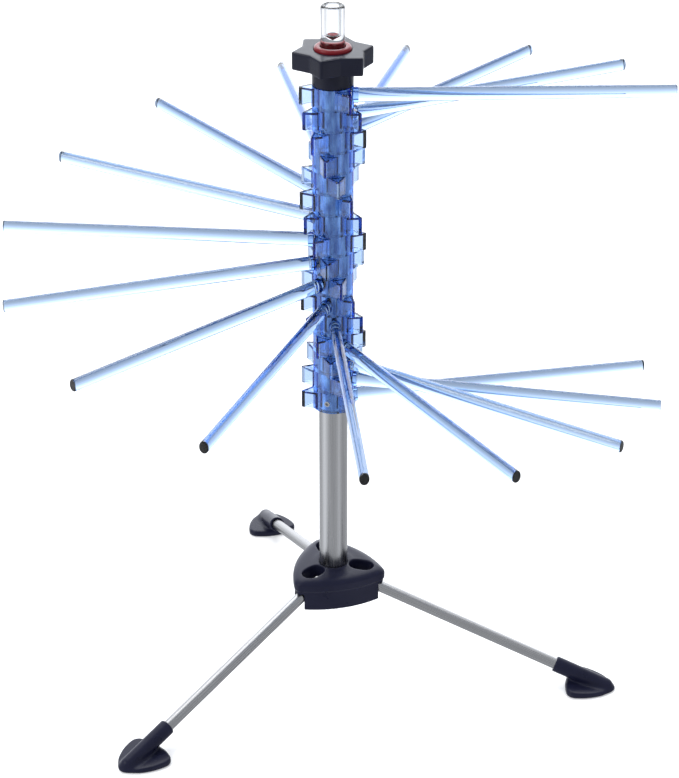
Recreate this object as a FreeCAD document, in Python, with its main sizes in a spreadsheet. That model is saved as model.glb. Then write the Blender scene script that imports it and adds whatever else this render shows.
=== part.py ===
import FreeCAD, Part
import math
import os
import re
import Sketcher

# Pasta drying rack: sixteen clear rods fan out round a tube that stands on three folding legs.
# Frame: origin on the table under the column, +Z up along the column, millimetres and degrees.
# The rack stands open: legs splayed, fan spread, wand down in the column.

SIZES = [
    # Fan of rods and the collars that carry them
    ("rod_count", 16, "rods, numbered from the top"),
    ("rod_pitch", 14.65, "height between neighbouring rods"),
    ("rod_reach", 225, "column axis to a rod tip"),
    ("fan_step", 24.67, "even turn between neighbouring rods in the open fan"),
    ("top_rod_angle", -13.9, "direction of the top rod in the open fan"),
    ("rod_play_02", 0.1, "rod 2, turned from its even place in the hand-spread fan"),
    ("rod_play_03", -0.3, "rod 3, turned from its even place in the hand-spread fan"),
    ("rod_play_04", 0.1, "rod 4, turned from its even place in the hand-spread fan"),
    ("rod_play_05", -0.7, "rod 5, turned from its even place in the hand-spread fan"),
    ("rod_play_06", -0.5, "rod 6, turned from its even place in the hand-spread fan"),
    ("rod_play_07", -0.7, "rod 7, turned from its even place in the hand-spread fan"),
    ("rod_play_08", -0.6, "rod 8, turned from its even place in the hand-spread fan"),
    ("rod_play_09", -0.3, "rod 9, turned from its even place in the hand-spread fan"),
    ("rod_play_10", 0.5, "rod 10, turned from its even place in the hand-spread fan"),
    ("rod_play_11", 1.2, "rod 11, turned from its even place in the hand-spread fan"),
    ("rod_play_12", 1.5, "rod 12, turned from its even place in the hand-spread fan"),
    ("rod_play_13", 2, "rod 13, turned from its even place in the hand-spread fan"),
    ("rod_play_14", 2.4, "rod 14, turned from its even place in the hand-spread fan"),
    ("rod_play_15", 1.3, "rod 15, turned from its even place in the hand-spread fan"),
    ("stack_level", 202.9, "underside of the bottom collar"),
    ("rod_root_tall", 9.9, "rod section at its root"),
    ("rod_root_wide", 7.4, "rod section at its root"),
    ("rod_tip_tall", 8.5, "rod section at its tip"),
    ("rod_tip_wide", 6.4, "rod section at its tip"),
    ("rod_tip_round", 0.9, "softened edge of a rod tip"),
    ("spigot_tall", 5.4, "spigot of a rod in its collar"),
    ("spigot_wide", 3.6, "spigot of a rod in its collar"),
    ("spigot_length", 4.8, "spigot of a rod in its collar"),
    ("collar_radius", 13.8, "barrel of a collar"),
    ("collar_gap", 0.1, "running gap between neighbouring collars"),
    ("wing_reach", 22.3, "column axis to a corner of the three-cornered wing"),
    ("wing_height", 12.3, "height of the wing"),
    ("wing_round", 1.1, "rounded corner of the wing"),
    ("wing_edge_round", 0.5, "softened rim of the wing"),
    ("wing_wall", 1.6, "side walls of the wing, which is open underneath"),
    ("wing_roof", 1.8, "top wall of the wing"),
    ("wing_inner_round", 0.4, "rounded corner inside the wing"),
    ("boss_length", 2.8, "boss round a rod root, proud of the barrel"),
    ("boss_wall", 0.5, "boss round a rod root, beyond the rod's section"),
    # Column, its plug and its fixings
    ("column_radius", 10, "outside of the column tube"),
    ("column_wall", 1, "wall of the column tube"),
    ("column_end_height", 4, "column end above the washer seat in the knob"),
    ("column_seat_level", 58, "floor of the hub socket that the column stands on"),
    ("plug_height", 14, "plug in the foot of the column"),
    ("column_screw_radius", 2, "screw that holds the column in the hub"),
    ("column_screw_length", 12, "screw shank"),
    ("column_screw_head_radius", 3.8, "screw head"),
    ("column_screw_head_height", 2.4, "screw head"),
    ("drive_width", 2.5, "hexagon drive of the screws, across corners"),
    ("drive_depth", 1.4, "hexagon drive of the screws"),
    ("collar_screw_radius", 1.9, "set screw of the bottom collar"),
    ("collar_screw_proud", 0.3, "set screw standing out of the barrel"),
    ("collar_screw_turn", 240, "set screw, turned from the bottom rod"),
    # Knob and what it hides
    ("knob_neck_radius", 13.7, "neck between the top collar and the star"),
    ("knob_neck_height", 12.2, "neck between the top collar and the star"),
    ("knob_height", 12.1, "height of the star"),
    ("knob_point_reach", 27.3, "axis to a point of the star"),
    ("knob_valley_reach", 20.9, "axis to a valley of the star"),
    ("knob_point_round", 2, "rounded point of the star"),
    ("knob_edge_round", 0.9, "softened rims of the star"),
    ("knob_points", 6, "points of the star"),
    ("knob_angle", -1.8, "direction of one point of the star"),
    ("washer_seat_depth", 10, "washer seat below the top of the star"),
    ("washer_radius", 12, "friction washer and retaining clip"),
    ("washer_thickness", 1, "friction washer and retaining clip"),
    ("clip_gap", 6, "opening of the retaining clip"),
    ("clip_groove_depth", 0.4, "groove for the clip in the column"),
    ("drive_pin_radius", 1, "pins that key the knob to the top collar"),
    ("drive_pin_length", 6, "pins that key the knob to the top collar"),
    ("ring_radius", 12.4, "guide ring pressed into the knob"),
    ("ring_proud", 2.1, "guide ring above the star"),
    ("ring_height", 7, "guide ring"),
    ("ring_edge_round", 0.9, "softened rim of the guide ring"),
    # Wand
    ("wand_radius", 8, "solid clear wand"),
    ("wand_proud", 29.2, "wand above the star"),
    ("wand_edge_round", 1.6, "rounded ends of the wand"),
    ("wand_hole_radius", 4.4, "blind hole in the top of the wand"),
    ("wand_hole_depth", 23, "blind hole, down to its cone"),
    ("wand_hole_cone", 3.4, "cone at the end of the blind hole"),
    # Base hub
    ("hub_corner_reach", 37.6, "axis to a corner of the cap"),
    ("hub_side_reach", 27.4, "axis to the middle of a side of the cap"),
    ("hub_corner_round", 6, "rounded corner of the cap"),
    ("hub_crown_reach", 14.5, "axis to the edge of the flat crown round the column"),
    ("hub_crown_level", 77.4, "flat crown round the column"),
    ("hub_rim_level", 73.2, "top edge of the cap rim"),
    ("hub_rim_height", 5, "cap rim"),
    ("hub_rim_proud", 1, "cap rim beyond the skirt"),
    ("hub_skirt_level", 52.7, "underside of the skirt"),
    ("hub_wall", 2.4, "skirt and socket walls"),
    ("hub_boss_recess", 2.4, "underside of the column socket above the skirt's"),
    ("cheek_wall", 3, "cheeks beside each leg, which hold its pin"),
    # Legs and feet
    ("leg_count", 3, "legs"),
    ("leg_angle", 90, "direction of the rear leg"),
    ("leg_radius", 4, "outside of a leg tube"),
    ("leg_wall", 1, "wall of a leg tube"),
    ("leg_apex_level", 73, "height where the leg axes meet the column axis"),
    ("leg_slope", 19.44, "fall of a splayed leg"),
    ("leg_pivot_reach", 23, "column axis to a leg pin"),
    ("leg_stub_length", 8, "leg tube inside its pin"),
    ("leg_slot_end_reach", 28, "column axis to the outer end of the slot that a leg's stub swings up in"),
    ("slot_mouth_end_reach", 28.6, "column axis to the outer end of that slot's mouth in the cap"),
    ("slot_mouth_half_width", 5.4, "half width of the slot's mouth, at its foot"),
    ("slot_mouth_flare", 6, "flare of the slot's mouth, in degrees"),
    ("leg_clearance", 0.3, "room round a leg in the hub"),
    ("pin_radius", 1.5, "leg pin"),
    ("socket_reach", 163.1, "column axis to the mouth of a foot socket"),
    ("socket_depth", 18, "leg tube in its foot socket"),
    ("socket_wall", 1.7, "wall of a foot socket"),
    ("foot_tip_reach", 207.3, "column axis to the tip of a foot pad"),
    ("foot_corner_reach", 20.2, "middle of a foot pad to its corners"),
    ("foot_side_reach", 15.7, "middle of a foot pad to its sides"),
    ("foot_corner_round", 6.5, "rounded corners of a foot pad"),
    ("foot_heel_height", 5.2, "foot pad at its heel"),
    ("foot_tip_height", 3, "foot pad at its tip"),
    ("foot_rim_round", 1.6, "rounded top edge of a foot pad"),
    ("foot_sole_round", 0.8, "softened sole of a foot pad"),
    # Fits and cuts
    ("running_clearance", 0.06, "collars on the column, legs on their pins, knob on the column"),
    ("seat_clearance", 0.02, "pressed and bonded seats"),
    ("wand_clearance", 0.4, "wand in its guide ring"),
    ("overrun", 2, "cutters beyond the faces that they cut"),
]

doc = FreeCAD.newDocument("drying_rack")
sheet = doc.addObject("Spreadsheet::Sheet", "Sizes")
for row, (alias, value, note) in enumerate(SIZES, start=1):
    sheet.set(f"A{row}", note)
    sheet.set(f"B{row}", str(value))
    sheet.setAlias(f"B{row}", alias)
doc.recompute()

ALIASES = {alias for alias, _value, _note in SIZES}
nodes = []


# Expressions

def linked(expression):
    """Writes an expression of size names as one that reads the sheet's cells."""
    def cell(word):
        return f"Sizes.{word[0]}" if word[0] in ALIASES else word[0]

    return re.sub(r"[a-z_][a-z_0-9]*", cell, expression)


def size(expression):
    """Value of an expression of size names."""
    value = sheet.evalExpression(linked(expression))
    return float(getattr(value, "Value", value))


def bind(item, **expressions):
    """Binds an object's properties to expressions; a double underscore stands for a dot."""
    for name, expression in expressions.items():
        item.setExpression(name.replace("__", "."), linked(expression))
    return item


def place(item, level=None, reach=None, angle=None, axis=None):
    """Binds an object's place: its height, its distance along X and its turn about an axis."""
    if axis is not None:
        item.Placement = FreeCAD.Placement(FreeCAD.Vector(), FreeCAD.Rotation(axis, size(angle)))
    if level is not None:
        bind(item, Placement__Base__z=level)
    if reach is not None:
        bind(item, Placement__Base__x=reach)
    if angle is not None:
        bind(item, Placement__Rotation__Angle=angle)
    return item


# Places that several pieces share

UPWARD = FreeCAD.Vector(0, 0, 1)
ACROSS = FreeCAD.Vector(0, 1, 0)
SIDEWAYS = FreeCAD.Vector(1, 0, 0)
ROD_MIDDLE = "(rod_pitch / 2)"
TOP_ROD_LEVEL = "(stack_level + rod_pitch * (rod_count - 1) + rod_pitch / 2)"
BOTTOM_ROD_ANGLE = "(top_rod_angle + fan_step * (rod_count - 1))"
STACK_TOP = "(stack_level + rod_pitch * rod_count)"
STAR_LEVEL = "(stack_level + rod_pitch * rod_count + knob_neck_height)"
STAR_TOP = "(stack_level + rod_pitch * rod_count + knob_neck_height + knob_height)"
WASHER_SEAT = f"({STAR_TOP} - washer_seat_depth)"
CLIP_LEVEL = f"({WASHER_SEAT} + washer_thickness + running_clearance)"
COLUMN_TOP = f"({WASHER_SEAT} + column_end_height)"
COLUMN_BORE = "(column_radius - column_wall)"
ROD_SEAT = "(collar_radius + boss_length)"
BORE_RADIUS = "(column_radius + running_clearance)"
GROOVE_RADIUS = "(column_radius - clip_groove_depth)"
WAND_BORE = "(wand_radius + wand_clearance)"
PLUG_TOP = "(column_seat_level + plug_height)"
HUB_FLOOR = "(hub_skirt_level + hub_boss_recess)"
RIM_FOOT = "(hub_rim_level - hub_rim_height)"
PIVOT_LEVEL = "(leg_apex_level - leg_pivot_reach * tan(leg_slope))"
LEG_TURN = "(90 + leg_slope)"
LEG_ROOM = "(leg_radius + leg_clearance)"
STUB_REACH = "(leg_pivot_reach - leg_stub_length * cos(leg_slope))"
STUB_LEVEL = f"({PIVOT_LEVEL} + leg_stub_length * sin(leg_slope))"
CHANNEL_REACH = f"(leg_pivot_reach - sqrt(leg_stub_length ^ 2 + {LEG_ROOM} ^ 2))"
CHEEK_REACH = f"({LEG_ROOM} + cheek_wall)"
SOCKET_LEVEL = "(leg_apex_level - socket_reach * tan(leg_slope))"
SOCKET_RADIUS = "(leg_radius + socket_wall)"
LEG_LENGTH = f"((socket_reach - {STUB_REACH}) / cos(leg_slope) + socket_depth)"
FOOT_MIDDLE = "(foot_tip_reach - foot_corner_reach)"
TRIANGLE_CORNERS = "3"
TRIANGLE_HALF_ANGLE = "60"
DOME_TURNS = ("0", "30", "60", "90")
CROWN_SIDE_SHARE = 0.93
CROWN_ROUND_SHARE = 0.62


# Solids

def cylinder(name, radius, height, level=None, **where):
    """Upright cylinder."""
    item = bind(doc.addObject("Part::Cylinder", name), Radius=radius, Height=height)
    return place(item, level, **where)


def slanted(name, radius, length, reach, level):
    """Cylinder along a splayed leg."""
    return cylinder(name, radius, length, level, reach=reach, angle=LEG_TURN, axis=ACROSS)


def hexagon(name, width, depth, level=None, **where):
    """Six-sided cutter of a screw's drive."""
    item = bind(doc.addObject("Part::Prism", name), Circumradius=f"{width} / 2", Height=depth)
    item.Polygon = 6
    return place(item, level, **where)


def cut(name, base, *tools):
    """Base with every tool taken away."""
    for number, tool in enumerate(tools, start=1):
        item = doc.addObject("Part::Cut", name if number == len(tools) else f"{name}_{number}")
        item.Base = base
        item.Tool = tool
        base = item
    return base


def fuse(name, *pieces):
    """One solid out of pieces that overlap."""
    item = doc.addObject("Part::MultiFuse", name)
    item.Shapes = list(pieces)
    item.Refine = True
    return item


def tube(name, outer, inner, height, level):
    """Upright tube."""
    bore = cylinder(f"{name}_bore", inner, f"{height} + 2 * overrun", f"{level} - overrun")
    return cut(name, cylinder(f"{name}_outside", outer, height, level), bore)


def oval(name, tall, wide, reach):
    """Upright oval across the X axis."""
    item = bind(doc.addObject("Part::Ellipse", name), MajorRadius=f"{tall} / 2", MinorRadius=f"{wide} / 2")
    item.Placement = FreeCAD.Placement(FreeCAD.Vector(), FreeCAD.Rotation(FreeCAD.Vector(1, 0, 1), 180))
    return bind(item, Placement__Base__x=reach)


def oval_bar(name, *sections):
    """Straight-sided solid through upright ovals, each given as tall, wide and reach."""
    item = doc.addObject("Part::Loft", name)
    item.Sections = [oval(f"{name}_oval_{number}", *section) for number, section in enumerate(sections)]
    item.Solid = True
    item.Ruled = True
    return item


# Features of a moulded body

def new_body(name):
    """Empty body."""
    return doc.addObject("PartDesign::Body", name)


def origin_feature(body, role):
    """Plane or axis of a body's own origin."""
    return next(item for item in body.Origin.OriginFeatures if item.Role == role)


def new_sketch(body, name, level=None, role="XY_Plane"):
    """Sketch on a plane of the body's origin, raised along its normal."""
    sketch = body.newObject("Sketcher::SketchObject", name)
    sketch.AttachmentSupport = [(origin_feature(body, role), "")]
    sketch.MapMode = "FlatFace"
    if level is not None:
        bind(sketch, AttachmentOffset__Base__z=level)
    return sketch


def hold(sketch, kind, expression, *where):
    """Adds a dimension to a sketch and binds it."""
    number = sketch.addConstraint(Sketcher.Constraint(kind, *where, size(expression)))
    sketch.setExpression(f"Constraints[{number}]", linked(expression))


def disc(body, name, radius, level=None):
    """Circle about the column axis or about the body's own axis."""
    sketch = new_sketch(body, name, level)
    sketch.addGeometry(Part.Circle(FreeCAD.Vector(), UPWARD, size(radius)))
    sketch.addConstraint(Sketcher.Constraint("Coincident", 0, 3, -1, 1))
    hold(sketch, "Radius", radius, 0)
    return sketch


def outline(body, name, points, role="XZ_Plane"):
    """Closed outline of straight runs through points given by expressions."""
    sketch = new_sketch(body, name, role=role)
    corners = [FreeCAD.Vector(size(across), size(up)) for across, up in points]
    for start, end in zip(corners, corners[1:] + corners[:1]):
        sketch.addGeometry(Part.LineSegment(start, end))
    for number in range(len(points)):
        following = (number + 1) % len(points)
        sketch.addConstraint(Sketcher.Constraint("Coincident", number, 2, following, 1))
    for number, (across, up) in enumerate(points):
        if across == "0":
            sketch.addConstraint(Sketcher.Constraint("PointOnObject", number, 1, -2))
        else:
            hold(sketch, "DistanceX", across, -1, 1, number, 1)
        hold(sketch, "DistanceY", up, -1, 1, number, 1)
    return sketch


def obround(body, name, near, far, half_width, level):
    """Round-ended slot along the X axis between two reaches."""
    sketch = new_sketch(body, name, level)
    radius = size(half_width)
    first = FreeCAD.Vector(size(near) + radius, 0)
    last = FreeCAD.Vector(size(far) - radius, 0)
    aside = FreeCAD.Vector(0, radius)
    quarter = math.pi / 2
    sketch.addGeometry(Part.ArcOfCircle(Part.Circle(first, UPWARD, radius), quarter, 3 * quarter))
    sketch.addGeometry(Part.LineSegment(first - aside, last - aside))
    sketch.addGeometry(Part.ArcOfCircle(Part.Circle(last, UPWARD, radius), -quarter, quarter))
    sketch.addGeometry(Part.LineSegment(last + aside, first + aside))
    for number in range(4):
        sketch.addConstraint(Sketcher.Constraint("Tangent", number, 2, (number + 1) % 4, 1))
    for arc in (0, 2):
        sketch.addConstraint(Sketcher.Constraint("PointOnObject", arc, 3, -1))
    hold(sketch, "Radius", half_width, 0)
    hold(sketch, "DistanceX", f"{near} + {half_width}", -1, 1, 0, 3)
    hold(sketch, "DistanceX", f"{far} - {half_width}", -1, 1, 2, 3)
    return sketch


def lobe(body, name, level, tip, valley, tip_round, half_angle, bulged):
    """One lobe of a star or rounded triangle, from the axis out to its rounded tip on the X axis.

    Its sides run from the valleys to the tip, straight or, when bulged, on arcs that leave each
    valley square to its radius and meet the tip's arc smoothly.
    """
    sketch = new_sketch(body, name, level)
    turn = math.radians(size(half_angle))
    inner = size(valley)
    rounding = size(tip_round)
    centre = FreeCAD.Vector(size(tip) - rounding, 0)
    corner = FreeCAD.Vector(inner * math.cos(turn), inner * math.sin(turn))
    if bulged:
        spare = inner - rounding
        back = (spare ** 2 - centre.x ** 2) / (2 * centre.x * math.cos(turn) - 2 * spare)
        heart = corner * (-back / inner)
        meeting = centre + (centre - heart).normalize() * rounding
        lean = math.atan2(meeting.y - heart.y, meeting.x - heart.x)
        upper = Part.ArcOfCircle(Part.Circle(heart, UPWARD, inner + back), lean, turn)
        mirrored = FreeCAD.Vector(heart.x, -heart.y)
        lower = Part.ArcOfCircle(Part.Circle(mirrored, UPWARD, inner + back), -turn, -lean)
    else:
        span = centre - corner
        bend = math.asin(rounding / span.Length)
        lean = math.atan2(span.y, span.x) + bend
        run = math.sqrt(span.Length ** 2 - rounding ** 2)
        meeting = corner + FreeCAD.Vector(run * math.cos(lean), run * math.sin(lean))
        upper = Part.LineSegment(meeting, corner)
        lower = Part.LineSegment(FreeCAD.Vector(corner.x, -corner.y), FreeCAD.Vector(meeting.x, -meeting.y))
    opening = math.atan2(meeting.y, meeting.x - centre.x)
    sketch.addGeometry(Part.LineSegment(FreeCAD.Vector(), FreeCAD.Vector(corner.x, -corner.y)))
    sketch.addGeometry(lower)
    sketch.addGeometry(Part.ArcOfCircle(Part.Circle(centre, UPWARD, rounding), -opening, opening))
    sketch.addGeometry(upper)
    sketch.addGeometry(Part.LineSegment(corner, FreeCAD.Vector()))
    for first, second in ((0, 1), (3, 4), (4, 0)):
        sketch.addConstraint(Sketcher.Constraint("Coincident", first, 2, second, 1))
    for first, second in ((1, 2), (2, 3)):
        sketch.addConstraint(Sketcher.Constraint("Tangent", first, 2, second, 1))
    sketch.addConstraint(Sketcher.Constraint("Coincident", 0, 1, -1, 1))
    sketch.addConstraint(Sketcher.Constraint("PointOnObject", 2, 3, -1))
    sketch.addConstraint(Sketcher.Constraint("Symmetric", 0, 2, 4, 1, -1))
    if bulged:
        sketch.addConstraint(Sketcher.Constraint("PointOnObject", 1, 3, 0))
        sketch.addConstraint(Sketcher.Constraint("PointOnObject", 3, 3, 4))
    hold(sketch, "DistanceX", f"{tip} - {tip_round}", -1, 1, 2, 3)
    hold(sketch, "Radius", tip_round, 2)
    hold(sketch, "DistanceX", f"{valley} * cos({half_angle})", -1, 1, 4, 1)
    hold(sketch, "DistanceY", f"{valley} * sin({half_angle})", -1, 1, 4, 1)
    return sketch


def pad(body, name, sketch, length):
    """Raises a sketch along its normal."""
    item = body.newObject("PartDesign::Pad", name)
    item.Profile = sketch
    return bind(item, Length=length)


def pocket(body, name, sketch, depth):
    """Sinks a sketch below its plane."""
    item = body.newObject("PartDesign::Pocket", name)
    item.Profile = sketch
    return bind(item, Length=depth)


def loft(body, name, sketches):
    """Smooth solid through sketches."""
    item = body.newObject("PartDesign::AdditiveLoft", name)
    item.Profile = sketches[0]
    item.Sections = sketches[1:]
    return item


def revolve(body, name, sketch):
    """Turns a half section about the Z axis."""
    item = body.newObject("PartDesign::Revolution", name)
    item.Profile = sketch
    item.ReferenceAxis = (sketch, ["V_Axis"])
    item.Angle = 360
    return item


def round_about(body, name, features, copies):
    """Repeats features evenly about the Z axis."""
    item = body.newObject("PartDesign::PolarPattern", name)
    item.Originals = features
    item.Axis = (origin_feature(body, "Z_Axis"), [""])
    item.Angle = 360
    bind(item, Occurrences=copies)
    body.Tip = item
    return item


def soften(body, name, radius, chosen):
    """Rounds the edges of the body's faces that a test picks."""
    doc.recompute()
    base = body.Tip
    faces = [f"Face{n}" for n, face in enumerate(base.Shape.Faces, start=1) if chosen(face)]
    item = body.newObject("PartDesign::Fillet", name)
    item.Base = (base, faces)
    bind(item, Radius=radius)
    body.Tip = item
    return item


def level_face(level):
    """Test for a flat face at a height."""
    height = size(level)
    slack = size("seat_clearance")

    def chosen(face):
        box = face.BoundBox
        return abs(box.ZMin - height) < slack and abs(box.ZMax - height) < slack

    return chosen


# Nodes

def node(label, item):
    """Names an object as a sub-part."""
    item.Label = label
    nodes.append(item)
    return item


def copy_of(label, form, level=None, angle=None):
    """Sub-part that repeats a form at a height and a turn about the column."""
    item = doc.addObject("Part::Compound", f"{label}_placed")
    item.Links = [form]
    place(item, level, angle=angle, axis=UPWARD if angle is not None else None)
    return node(label, item)


# Rods and collars, modelled about the rod's own level with the rod along +X

def rod_form():
    """Tapered oval rod with a spigot at its root."""
    shaft = oval_bar(
        "rod_shaft",
        ("rod_root_tall", "rod_root_wide", ROD_SEAT),
        ("rod_tip_tall", "rod_tip_wide", "(rod_reach - rod_tip_round)"),
        ("(rod_tip_tall - 2 * rod_tip_round)", "(rod_tip_wide - 2 * rod_tip_round)", "rod_reach"),
    )
    spigot = oval_bar(
        "rod_spigot",
        ("spigot_tall", "spigot_wide", f"({ROD_SEAT} - spigot_length)"),
        ("spigot_tall", "spigot_wide", f"({ROD_SEAT} + spigot_length)"),
    )
    return fuse("rod_form", shaft, spigot)


def wing_prism(name, apex, corner_round, level, height):
    """Three-cornered prism whose corners lie to either side of the rod and opposite it."""
    body = new_body(name)
    sketch = lobe(body, f"{name}_outline", level, f"({apex} - {corner_round})", f"({apex} / 2)", corner_round,
                  TRIANGLE_HALF_ANGLE, False)
    prism = pad(body, f"{name}_pad", sketch, height)
    round_about(body, f"{name}_corners", [prism], TRIANGLE_CORNERS)
    return place(body, angle=TRIANGLE_HALF_ANGLE, axis=UPWARD)


def wing_shell():
    """Three-cornered wing with thin walls, open underneath."""
    apex = "(wing_reach + wing_round)"
    outside = wing_prism("wing_outside", apex, "wing_round", "-wing_height / 2", "wing_height")
    for name, level in (("wing_sole", "-wing_height / 2"), ("wing_top", "wing_height / 2")):
        soften(outside, name, "wing_edge_round", level_face(level))
    inside = wing_prism("wing_inside", f"({apex} - 2 * wing_wall)", "wing_inner_round",
                        "-wing_height / 2 - overrun", "wing_height - wing_roof + overrun")
    return cut("wing_shell", outside, inside)


def collar_form():
    """Barrel with its wing and the boss that a rod sits in, bored for the column."""
    height = "(rod_pitch - collar_gap)"
    barrel = cylinder("collar_barrel", "collar_radius", height, f"-{height} / 2")
    boss_section = ("(rod_root_tall + 2 * boss_wall)", "(rod_root_wide + 2 * boss_wall)")
    boss = oval_bar("collar_boss", (*boss_section, BORE_RADIUS), (*boss_section, ROD_SEAT))
    bore = cylinder("collar_bore", BORE_RADIUS, f"{height} + 2 * overrun", f"-{height} / 2 - overrun")
    socket_section = ("(spigot_tall + 2 * seat_clearance)", "(spigot_wide + 2 * seat_clearance)")
    socket = oval_bar(
        "collar_socket",
        (*socket_section, f"({ROD_SEAT} - spigot_length - seat_clearance)"),
        (*socket_section, f"({ROD_SEAT} + overrun)"),
    )
    return cut("collar_form", fuse("collar_blank", wing_shell(), barrel, boss), bore, socket)


def drive_pins(name, radius, length):
    """Two upright pins, a half turn apart, in the wall between the column and the neck."""
    ring = "((column_radius + knob_neck_radius) / 2)"
    item = doc.addObject("Part::Compound", name)
    item.Links = [
        cylinder(f"{name}_{side}", radius, length, reach=reach)
        for side, reach in (("near", ring), ("far", f"-{ring}"))
    ]
    return item


def straight_out(name, radius, start, length):
    """Cylinder that runs straight out from the column."""
    return cylinder(name, radius, length, reach=start, angle="90", axis=ACROSS)


def build_fan():
    """Rods in their collars; the top collar is keyed to the knob, the bottom one to the column."""
    rod = rod_form()
    collar = collar_form()
    pin_holes = drive_pins("collar_pin_hole", "drive_pin_radius + seat_clearance", "drive_pin_length")
    place(pin_holes, "(rod_pitch - drive_pin_length) / 2")
    top_collar = cut("top_collar", collar, pin_holes)
    hole = straight_out("collar_screw_hole", "collar_screw_radius + seat_clearance",
                        "column_radius - overrun", "collar_radius")
    turned_hole = doc.addObject("Part::Compound", "collar_screw_hole_turned")
    turned_hole.Links = [hole]
    place(turned_hole, angle="collar_screw_turn", axis=UPWARD)
    bottom_collar = cut("bottom_collar", collar, turned_hole)
    count = int(size("rod_count"))
    for number in range(1, count + 1):
        level = f"{TOP_ROD_LEVEL} - rod_pitch * {number - 1}"
        angle = f"top_rod_angle + fan_step * {number - 1}"
        if 1 < number < count:
            angle += f" + rod_play_{number:02d}"
        form = {1: top_collar, count: bottom_collar}.get(number, collar)
        copy_of(f"collar_{number:02d}", form, level, angle)
        copy_of(f"rod_{number:02d}", rod, level, angle)


# Knob, the parts it hides, and the wand

def build_knob():
    """Star knob with a neck, bored for the column and counterbored for washer, clip and guide ring."""
    body = new_body("knob_moulding")
    neck_circle = disc(body, "knob_neck_circle", "knob_neck_radius", STACK_TOP)
    pad(body, "knob_neck", neck_circle, "knob_neck_height + knob_height / 2")
    point = lobe(body, "knob_outline", STAR_LEVEL, "knob_point_reach", "knob_valley_reach",
                 "knob_point_round", "(180 / knob_points)", False)
    star = pad(body, "knob_star", point, "knob_height")
    round_about(body, "knob_star_points", [star], "knob_points")
    soften(body, "knob_rims", "knob_edge_round", level_face(STAR_TOP))
    place(body, angle="knob_angle", axis=UPWARD)
    bore = cylinder("knob_bore", BORE_RADIUS, "knob_neck_height + knob_height", f"{STACK_TOP} - overrun")
    seat = cylinder("knob_seat", "ring_radius + seat_clearance", "washer_seat_depth + overrun", WASHER_SEAT)
    holes = drive_pins("knob_pin_hole", "drive_pin_radius + seat_clearance",
                       "drive_pin_length / 2 + overrun")
    place(holes, f"{STACK_TOP} - overrun", angle="top_rod_angle", axis=UPWARD)
    node("knob", cut("knob_bored", body, bore, seat, holes))
    pins = drive_pins("drive_pin", "drive_pin_radius", "drive_pin_length")
    copy_of("drive_pins", pins, f"{STACK_TOP} - drive_pin_length / 2", "top_rod_angle")


def build_knob_fittings():
    """Friction washer under a retaining clip in the column's groove, closed by the guide ring."""
    node("friction_washer", tube("washer", "washer_radius", BORE_RADIUS, "washer_thickness", WASHER_SEAT))
    clip = tube("clip", "washer_radius", f"({GROOVE_RADIUS} + seat_clearance)", "washer_thickness",
                CLIP_LEVEL)
    opening = doc.addObject("Part::Box", "clip_opening")
    bind(opening, Length="washer_radius + overrun", Width="clip_gap",
         Height="washer_thickness + 2 * overrun", Placement__Base__y="-clip_gap / 2",
         Placement__Base__z=f"{CLIP_LEVEL} - overrun")
    node("retaining_clip", cut("clip_open", clip, opening))
    body = new_body("ring_moulding")
    ring_level = f"({STAR_TOP} + ring_proud - ring_height)"
    pad(body, "ring_blank", disc(body, "ring_circle", "ring_radius", ring_level), "ring_height")
    bore = disc(body, "ring_bore_circle", WAND_BORE, f"{STAR_TOP} + ring_proud")
    pocket(body, "ring_bore", bore, "ring_height + overrun")
    soften(body, "ring_rims", "ring_edge_round", level_face(f"{STAR_TOP} + ring_proud"))
    node("guide_ring", body)


def build_wand():
    """Solid clear wand that stands on the column's plug, with a blind hole in its top."""
    body = new_body("wand_bar")
    top = f"({STAR_TOP} + wand_proud)"
    section = outline(body, "wand_section", [
        ("0", PLUG_TOP),
        ("wand_radius", PLUG_TOP),
        ("wand_radius", top),
        ("wand_hole_radius", top),
        ("wand_hole_radius", f"{top} - wand_hole_depth"),
        ("0", f"{top} - wand_hole_depth - wand_hole_cone"),
    ])
    revolve(body, "wand_turning", section)
    soften(body, "wand_top_rim", "wand_edge_round", level_face(top))
    soften(body, "wand_foot_rim", "wand_edge_round", level_face(PLUG_TOP))
    node("wand", body)


# Column and its fixings

def build_column():
    """Tube on the hub's floor, plugged and screwed down at its foot and grooved for the clip."""
    height = f"({COLUMN_TOP} - column_seat_level)"
    body = tube("column", "column_radius", COLUMN_BORE, height, "column_seat_level")
    groove = tube("clip_groove", "(column_radius + overrun)", GROOVE_RADIUS, "washer_thickness",
                  CLIP_LEVEL)
    node("column_tube", cut("column_grooved", body, groove))
    plug = cylinder("plug_blank", f"{COLUMN_BORE} - seat_clearance", "plug_height", "column_seat_level")
    thread = cylinder("plug_thread", "column_screw_radius + seat_clearance", "column_screw_length",
                      HUB_FLOOR)
    node("column_plug", cut("plug", plug, thread))
    head_level = f"({HUB_FLOOR} - column_screw_head_height)"
    shank = cylinder("screw_shank", "column_screw_radius",
                     "column_screw_length + column_screw_head_height", head_level)
    head = cylinder("screw_head", "column_screw_head_radius", "column_screw_head_height", head_level)
    drive = hexagon("screw_drive", "drive_width", "drive_depth + overrun", f"{head_level} - overrun")
    node("column_screw", cut("screw", fuse("screw_blank", shank, head), drive))


def build_collar_screw():
    """Set screw through the wall of the bottom collar, down on the column."""
    length = "(collar_radius + collar_screw_proud - column_radius)"
    shank = straight_out("set_screw_shank", "collar_screw_radius", "column_radius", length)
    drive = hexagon("set_screw_drive", "drive_width", "drive_depth + overrun",
                    reach="collar_radius + collar_screw_proud - drive_depth", angle="90", axis=ACROSS)
    screw = cut("set_screw", shank, drive)
    copy_of("collar_screw", screw, f"stack_level + {ROD_MIDDLE}", f"{BOTTOM_ROD_ANGLE} + collar_screw_turn")


# Base hub, modelled with one leg along +X

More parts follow.
